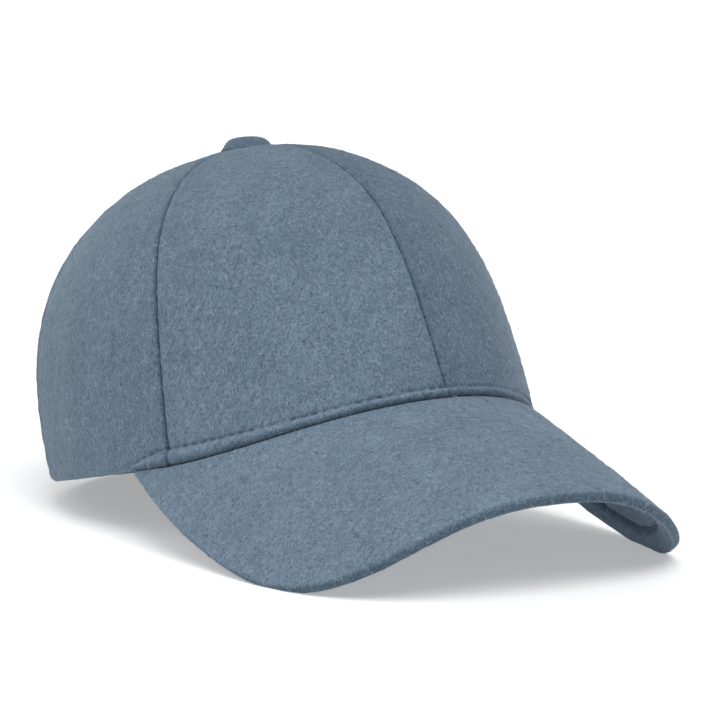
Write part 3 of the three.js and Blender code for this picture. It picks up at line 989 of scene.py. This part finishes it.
# Loose fibres: the longest of the wool's nap, which lie over the cloth in all directions and
# catch the light as pale hairs. They are fine curved spindles, scattered evenly over the cloth.
CROWN_FIBRE_AREA = 1e-5
BRIM_FIBRE_AREA = 5.5e-6
FIBRE_LENGTHS = (0.0012, 0.0042)
FIBRE_RADII = (0.000035, 0.00007)
FIBRE_LIFT = 0.00024
FIBRE_LEAST_LIFT = 0.3
FIBRE_FAR_LIFT = 0.8
FIBRE_BEND = 0.22
FIBRE_MIDDLE_BEND = 0.4
FIBRE_UPRIGHTNESS = 0.55
FIBRE_SIDES = 3
HAIR_TONES = ((0.38, (0.12, 0.17, 0.22, 1)), (0.66, (0.46, 0.55, 0.63, 1)))


def loose_fibres(name, faces, area_each, seed):
    """One mesh of many bent hairs on rows of points, each pointed at both ends."""
    rng = np.random.default_rng(seed)
    spots = []
    outs = []
    for face in faces:
        across = face[:-1, 1:] - face[:-1, :-1]
        upwards = face[1:, :-1] - face[:-1, :-1]
        square = np.cross(across, upwards)
        area = np.linalg.norm(square, axis=-1)
        count = int(area.sum() / area_each)
        chosen = rng.choice(area.size, size=count, p=(area / area.sum()).reshape(-1))
        shift = rng.uniform(0, 1, (2, count, 1))
        corner = face[:-1, :-1].reshape(-1, 3)[chosen]
        spots.append(corner + across.reshape(-1, 3)[chosen] * shift[0]
                     + upwards.reshape(-1, 3)[chosen] * shift[1])
        outs.append((square / np.maximum(area, 1e-12)[..., None]).reshape(-1, 3)[chosen])
    spots = np.concatenate(spots)
    outs = np.concatenate(outs)
    count = len(spots)
    any_way = rng.normal(size=(count, 3)) * (1, 1, FIBRE_UPRIGHTNESS)
    along = unit(np.cross(outs, any_way))
    beside = np.cross(outs, along)
    length = rng.uniform(*FIBRE_LENGTHS, (count, 1))
    radius = rng.uniform(*FIBRE_RADII, (count, 1))
    bend = rng.normal(0, FIBRE_BEND, (count, 1)) * length
    lift = rng.uniform(FIBRE_LEAST_LIFT, 1, (count, 1)) * FIBRE_LIFT
    path = [spots - along * length / 2 + beside * bend,
            spots - along * length / 6 - beside * bend * FIBRE_MIDDLE_BEND + outs * lift,
            spots + along * length / 6 - beside * bend * FIBRE_MIDDLE_BEND + outs * lift * FIBRE_FAR_LIFT,
            spots + along * length / 2 + beside * bend]
    rings = [path[0]]
    for middle in path[1:3]:
        for side in range(FIBRE_SIDES):
            turn = 2 * math.pi * side / FIBRE_SIDES
            rings.append(middle + (beside * math.cos(turn) + outs * math.sin(turn)) * radius)
    rings.append(path[3])
    points = np.stack(rings, 1)
    one = []
    for side in range(FIBRE_SIDES):
        after = (side + 1) % FIBRE_SIDES
        low, low_next = 1 + side, 1 + after
        high, high_next = low + FIBRE_SIDES, low_next + FIBRE_SIDES
        one += [(0, low, low_next), (low, high, high_next), (low, high_next, low_next),
                (high, 2 * FIBRE_SIDES + 1, high_next)]
    faces = (np.array(one)[None] + np.arange(count)[:, None, None] * points.shape[1]).reshape(-1, 3)
    return mesh_piece(name, points, faces.tolist())


def hair_material():
    """Pale wool hairs: each from grey-blue to nearly white."""
    made = new_material("pale_hair")
    place = made.node_tree.nodes.new("ShaderNodeTexCoord").outputs["Object"]
    colour_by(made, noise(made, place, scale=400, detail=2), HAIR_TONES)
    set_finish(made, {"Roughness": 0.6})
    return made


hair = hair_material()
crown_hairs = loose_fibres("crown_hairs", nap_faces, CROWN_FIBRE_AREA, 71)
finish_piece(crown_hairs, hair, "wool")
brim_face = np.array(loop)[1:BRIM_TOP_ROWS + BRIM_ROLL_ROWS + BRIM_UNDER_ROWS]
brim_hairs = loose_fibres("brim_hairs", [brim_face[:, ::-1]], BRIM_FIBRE_AREA, 72)
finish_piece(brim_hairs, hair, "wool")

# Sweatband: a strip of cotton twill folded at its lower edge and sewn inside the rim in two rows.
# Its ends meet at the centre back in a shallow seam.
BAND_WIDTH = 0.031
BAND_LENGTH = 0.575
BAND_WALL = 0.0012
BAND_SET_UP = 0.001
BAND_DEPTH = 0.0031
BAND_RISE_SHARPNESS = 8
BAND_EDGE_ROLL = BAND_WALL / 2 * 0.9
BAND_SIDES = 400
BAND_EVEN_SHARE = 0.6
BAND_ROWS = 24
BAND_SEAM_REACH = 0.0018
BAND_SEAM_DEPTH = 0.0006
BAND_STITCH_ROWS = (0.0028, 0.0285)
BAND_STITCH_PITCH = 0.0034
BAND_STITCH_SHOWS = 0.0027
BAND_STITCH_RISE = 0.0001
BAND_ROW_END = 0.03
TWILL_RIBS = 1150
TWILL_TONES = ((0.2, (0.05, 0.075, 0.105, 1)), (0.8, (0.11, 0.155, 0.2, 1)))
TWILL_SLUBS = 0.4


def twill_material():
    """Cotton twill in the wool's colour: fine diagonal ribs that follow the strip."""
    made = new_material("cotton_twill")
    nodes = made.node_tree.nodes
    links = made.node_tree.links
    strip = nodes.new("ShaderNodeTexCoord")
    real_size = nodes.new("ShaderNodeMapping")
    real_size.inputs["Scale"].default_value = (BAND_LENGTH, BAND_WIDTH, 1)
    links.new(strip.outputs["UV"], real_size.inputs["Vector"])
    ribs = nodes.new("ShaderNodeTexWave")
    ribs.wave_type = "BANDS"
    ribs.bands_direction = "DIAGONAL"
    ribs.inputs["Scale"].default_value = TWILL_RIBS / 20 * 2 * math.pi
    ribs.inputs["Distortion"].default_value = 1.2
    ribs.inputs["Detail"].default_value = 2
    ribs.inputs["Detail Scale"].default_value = 3
    links.new(real_size.outputs["Vector"], ribs.inputs["Vector"])
    mixed = nodes.new("ShaderNodeMix")
    mixed.data_type = "FLOAT"
    mixed.inputs["Factor"].default_value = TWILL_SLUBS
    links.new(ribs.outputs["Fac"], mixed.inputs[2])
    links.new(noise(made, strip.outputs["Object"], scale=700, detail=3), mixed.inputs[3])
    colour_by(made, mixed.outputs[0], TWILL_TONES)
    roughen(made, mixed.outputs[0], strength=0.6, distance=0.00015)
    set_finish(made, {"Roughness": 0.8, "Sheen Weight": 0.1})
    return made


def band_height(angle):
    """Height of the band's lower edge: under the brim in front, just above the rim behind."""
    behind = rim_height(angle) + BAND_SET_UP
    share = np.minimum(np.abs(angle) / JOINT_END, 1)
    from_corner = np.clip((1 - np.abs(angle) / JOINT_END) / BRIM_THINNING_SHARE, 0, 1)
    brim_wall = BRIM_CORNER_THICKNESS + (BRIM_THICKNESS - BRIM_CORNER_THICKNESS) * from_corner
    front = joint_height(angle) - brim_wall
    return front + (behind - front) * share**BAND_RISE_SHARPNESS


def band_spot(angle, rise, depth):
    """A point inside the crown, some way up the band and some way in, and the way out of the crown."""
    height = band_height(angle) + rise
    seat = np.maximum(height, rim_height(angle))
    climb = climb_at(angle, seat)
    point = crown_point(angle, climb)
    point[:, 2] += height - seat
    normal = crown_normal(angle, climb)
    return point - normal * depth[:, None], normal


even = np.linspace(-1, 1, BAND_SIDES + 1)
around = math.pi * (BAND_EVEN_SHARE * even + (1 - BAND_EVEN_SHARE) * np.sin(even * math.pi / 2))
seam_dip = rounded((math.pi - np.abs(around)) * rim_radius(around), BAND_SEAM_REACH, BAND_SEAM_DEPTH)
outer_rows = []
inner_rows = []
for part in np.linspace(0, 1, BAND_ROWS + 1):
    to_border = np.array(min(part, 1 - part) * BAND_WIDTH)
    edge_roll = rounded(to_border, BAND_EDGE_ROLL, BAND_EDGE_ROLL)
    outer_depth = np.full_like(around, BAND_DEPTH + edge_roll)
    outer_rows.append(band_spot(around, part * BAND_WIDTH, outer_depth)[0])
    inner_depth = BAND_DEPTH + BAND_WALL - edge_roll - seam_dip
    inner_rows.append(band_spot(around, part * BAND_WIDTH, inner_depth)[0])
outer_face = cloth_grid("sweatband_twill", np.array(outer_rows))
band = close_wall(outer_face, cloth_grid("inner_face", np.array(inner_rows)))
bpy.ops.object.mode_set(mode="EDIT")
bpy.ops.mesh.select_mode(type="VERT")
bpy.ops.mesh.select_all(action="SELECT")
bpy.ops.mesh.remove_doubles(threshold=0.000005)
bpy.ops.object.mode_set(mode="OBJECT")
finish_piece(band, twill_material(), "sweatband_twill", "sweatband")

rows = []
for rise in BAND_STITCH_ROWS:
    angles = np.linspace(-math.pi + BAND_ROW_END, math.pi - BAND_ROW_END, 1500)
    stitch_depth = np.full_like(angles, BAND_DEPTH + BAND_WALL - BAND_STITCH_RISE)
    line, outwards = band_spot(angles, rise, stitch_depth)
    rows.append(stitch_ends(line, -outwards, BAND_STITCH_PITCH, BAND_STITCH_SHOWS, BAND_STITCH_PITCH))
firsts, lasts, normals = (np.concatenate(given) for given in zip(*rows))
band_stitches = stitch_mesh("sweatband_stitches", firsts, lasts, normals, THREAD_RADIUS)
finish_piece(band_stitches, thread_painted_dark, "sweatband_twill")

# Surroundings: a pale matt floor that glows a little, three wide soft lights and an even pale sky
# round them, and the camera at the photograph's angle above the floor.
FLOOR_SIZE = 14
SKY_STRENGTH = 0.22
LIGHT_SPREAD = math.radians(45)
CAMERA_AIM = np.array([0.0185, 0.0142, 0.059])
CAMERA_DISTANCE = 2.293
CAMERA_AZIMUTH = math.radians(-34.14)
CAMERA_ELEVATION = math.radians(9.35)
CAMERA_ROLL = math.radians(1.59)
LENS = 309
SENSOR_WIDTH = 36

bpy.ops.mesh.primitive_plane_add(size=FLOOR_SIZE, location=(0, 0, 0))
floor = bpy.context.object
floor.name = "floor"
paper = new_material("glowing_pale_floor")
# The floor's glow keeps it evenly white; as painted light it also lightens the shadow under the cap and
# lights the cap from below
set_finish(paper, {
    "Base Color": (0.76, 0.76, 0.76, 1),
    "Roughness": 0.8,
    "Emission Color": (1, 1, 1, 1),
    "Emission Strength": 0.36,
})
floor.data.materials.append(paper)

world = bpy.data.worlds.new("studio")
bpy.context.scene.world = world
world.use_nodes = True
world.node_tree.nodes["Background"].inputs["Color"].default_value = (1, 1, 1, 1)
world.node_tree.nodes["Background"].inputs["Strength"].default_value = SKY_STRENGTH


def soft_light(name, side, height, strength):
    """A wide, far softbox: side and height are the angles that it stands at, from the front."""
    bpy.ops.object.light_add(type="SUN", location=(0, 0, 3))
    light = bpy.context.object
    light.name = name
    light.data.energy = strength
    light.data.angle = LIGHT_SPREAD
    light.rotation_euler = (math.radians(90 - height), 0, math.radians(side))


soft_light("key", -20, 60, 2.3)
soft_light("left_fill", -110, 45, 0.6)
soft_light("back_fill", 150, 50, 0.4)

backwards = np.array([math.sin(CAMERA_AZIMUTH) * math.cos(CAMERA_ELEVATION),
                      -math.cos(CAMERA_AZIMUTH) * math.cos(CAMERA_ELEVATION),
                      math.sin(CAMERA_ELEVATION)])
bpy.ops.object.camera_add(location=CAMERA_AIM + backwards * CAMERA_DISTANCE)
camera = bpy.context.object
level = Euler((math.pi / 2 - CAMERA_ELEVATION, 0, CAMERA_AZIMUTH)).to_matrix()
camera.rotation_euler = (level @ Matrix.Rotation(CAMERA_ROLL, 3, "Z")).to_euler()
camera.data.lens = LENS
camera.data.sensor_width = SENSOR_WIDTH
bpy.context.scene.camera = camera
bpy.context.scene.view_settings.view_transform = "Standard"
